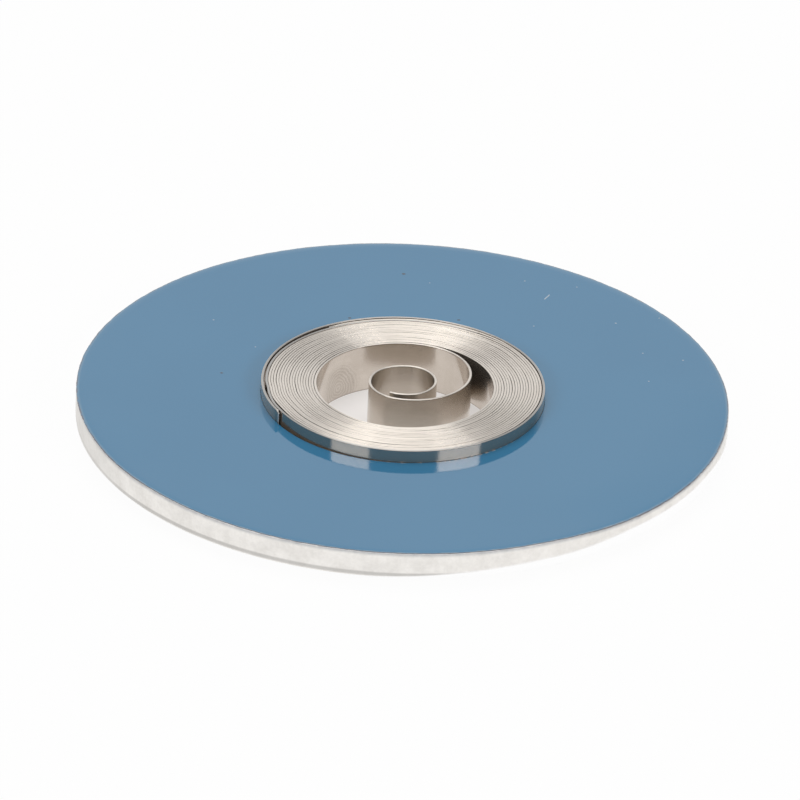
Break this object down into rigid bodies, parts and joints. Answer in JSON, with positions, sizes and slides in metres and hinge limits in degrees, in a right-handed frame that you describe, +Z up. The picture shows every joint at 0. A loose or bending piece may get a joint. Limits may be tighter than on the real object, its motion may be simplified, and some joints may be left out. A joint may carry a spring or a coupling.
{
  "type": "watch mainspring",
  "caption": "Slipping watch mainspring wound up in the hole of a flat coloured carrier disc, ready to be pushed into a barrel.",
  "frame": {"origin": "on the axis of the disc and its hole, at the lower edges of the strip, which the object stands on", "axes": "+Z up along the axis, out of the coloured face; +X and +Y across the disc, with the picture taken from -Y"},
  "size_m": [0.025, 0.025, 0.002],
  "materials": {
    "bare_disc": "satin",
    "blue_coat": "gloss",
    "bridle_strip": "satin",
    "spring_strip": "satin",
    "weld": "satin"
  },
  "bodies": {
    "spring": {"mainspring": "spring_strip", "bridle": "bridle_strip", "weld_spots": "weld"},
    "carrier": {"carrier_disc": "bare_disc", "blue_coat": "blue_coat"}
  },
  "joints": [
    {"name": "carrier_lift_off", "type": "slide", "parent": "spring", "child": "carrier", "axis": [0, 0, 1], "range_m": [-0.00038, 0.0016]}
  ]
}
